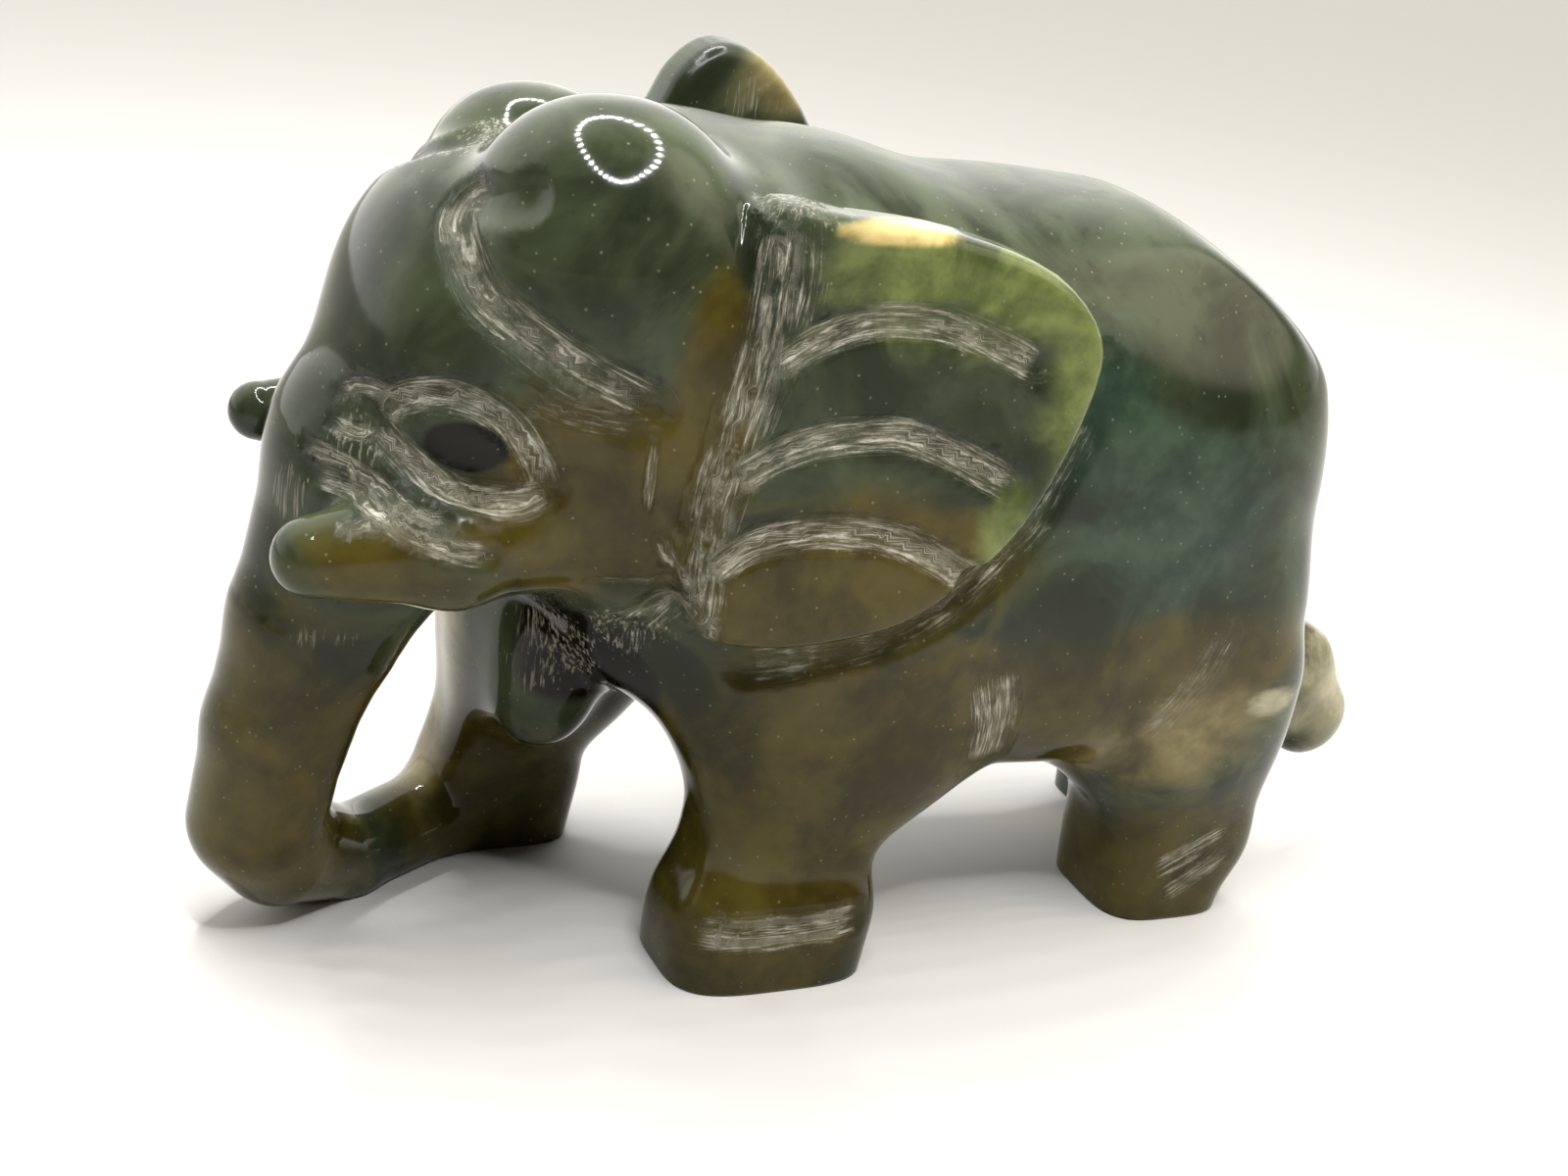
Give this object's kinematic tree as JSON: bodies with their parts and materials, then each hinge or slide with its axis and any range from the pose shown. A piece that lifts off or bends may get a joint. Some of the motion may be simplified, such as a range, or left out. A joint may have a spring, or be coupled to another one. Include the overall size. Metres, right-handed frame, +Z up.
{
  "type": "hardstone elephant carving",
  "caption": "Small walking elephant carved from one piece of polished green hardstone, with its trunk tip joined to a fore foot and wheel-cut eyes and ears.",
  "frame": {"origin": "below the middle of the carving's bounding box, on the plane of the soles", "axes": "the head looks along -X, the tail along +X, the side with the eye seen in the picture faces -Y, +Z is up"},
  "size_m": [0.061, 0.0246, 0.0387],
  "materials": {
    "stone": "high polish, mottled blue-green to olive, with frosted wheel grooves"
  },
  "bodies": {
    "root": {"elephant": "stone"}
  },
  "joints": []
}
